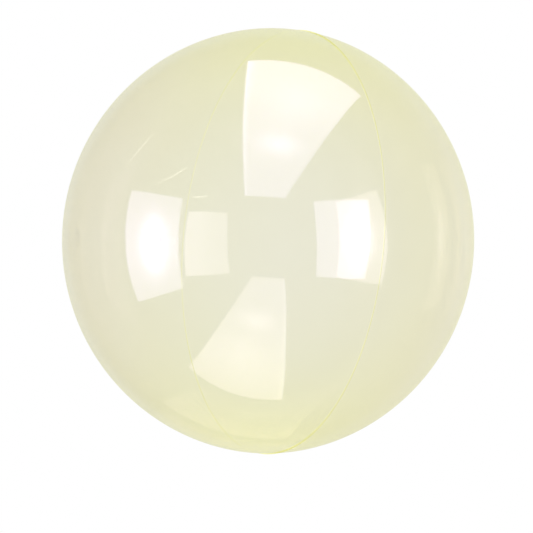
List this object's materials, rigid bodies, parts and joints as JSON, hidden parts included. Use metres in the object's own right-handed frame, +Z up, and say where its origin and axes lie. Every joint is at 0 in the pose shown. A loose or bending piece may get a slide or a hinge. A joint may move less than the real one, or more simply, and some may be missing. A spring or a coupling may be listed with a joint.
{
  "type": "inflatable beach ball",
  "caption": "Clear pale yellow inflatable ball: two see-through vinyl film panels welded round one seam, with a push-in air valve, stopper on a strap and check flap",
  "frame": {"origin": "centre of the ball, which is the centre of its bounding box", "axes": "+Z is up as pictured; +X runs through the middle of the plain panel, square to the welded seam, so the seam lies in the YZ plane and the panel with the valve bulges towards -X; +Y points away from the viewer, and the valve is on the back, 11.5 degrees from the seam. The picture looks from (-0.47, -0.88, -0.04)"},
  "size_m": [0.4794, 0.5, 0.5],
  "materials": {
    "clear_film": "clear pale yellow PVC film, glossy on both faces",
    "soft_valve_vinyl": "clear moulded soft PVC, slightly cloudy"
  },
  "bodies": {
    "ball": {"film_panel_plain": "clear_film", "film_panel_valve": "clear_film", "valve_patch": "soft_valve_vinyl", "valve_membrane": "soft_valve_vinyl"},
    "stem": {"valve_stem": "soft_valve_vinyl", "stopper_strap": "soft_valve_vinyl"},
    "stopper": {"valve_stopper": "soft_valve_vinyl"},
    "flap": {"check_flap": "soft_valve_vinyl"}
  },
  "joints": [
    {"name": "valve_pull_out", "type": "slide", "parent": "ball", "child": "stem", "axis": [-0.1994, 0.9799, -0.0086], "range_m": [0, 0.014]},
    {"name": "stopper_open", "type": "hinge", "parent": "stem", "child": "stopper", "pos_m": [-0.04944, 0.24297, -0.01052], "axis": [-0.9799, -0.1994, 0], "range_deg": [0, 140]},
    {"name": "flap_open", "type": "hinge", "parent": "stem", "child": "flap", "pos_m": [-0.04627, 0.22742, -0.00768], "axis": [0.9799, 0.1994, 0], "range_deg": [0, 60], "stiffness_Nm_per_rad": 0.00003, "springref_deg": -17.19}
  ]
}
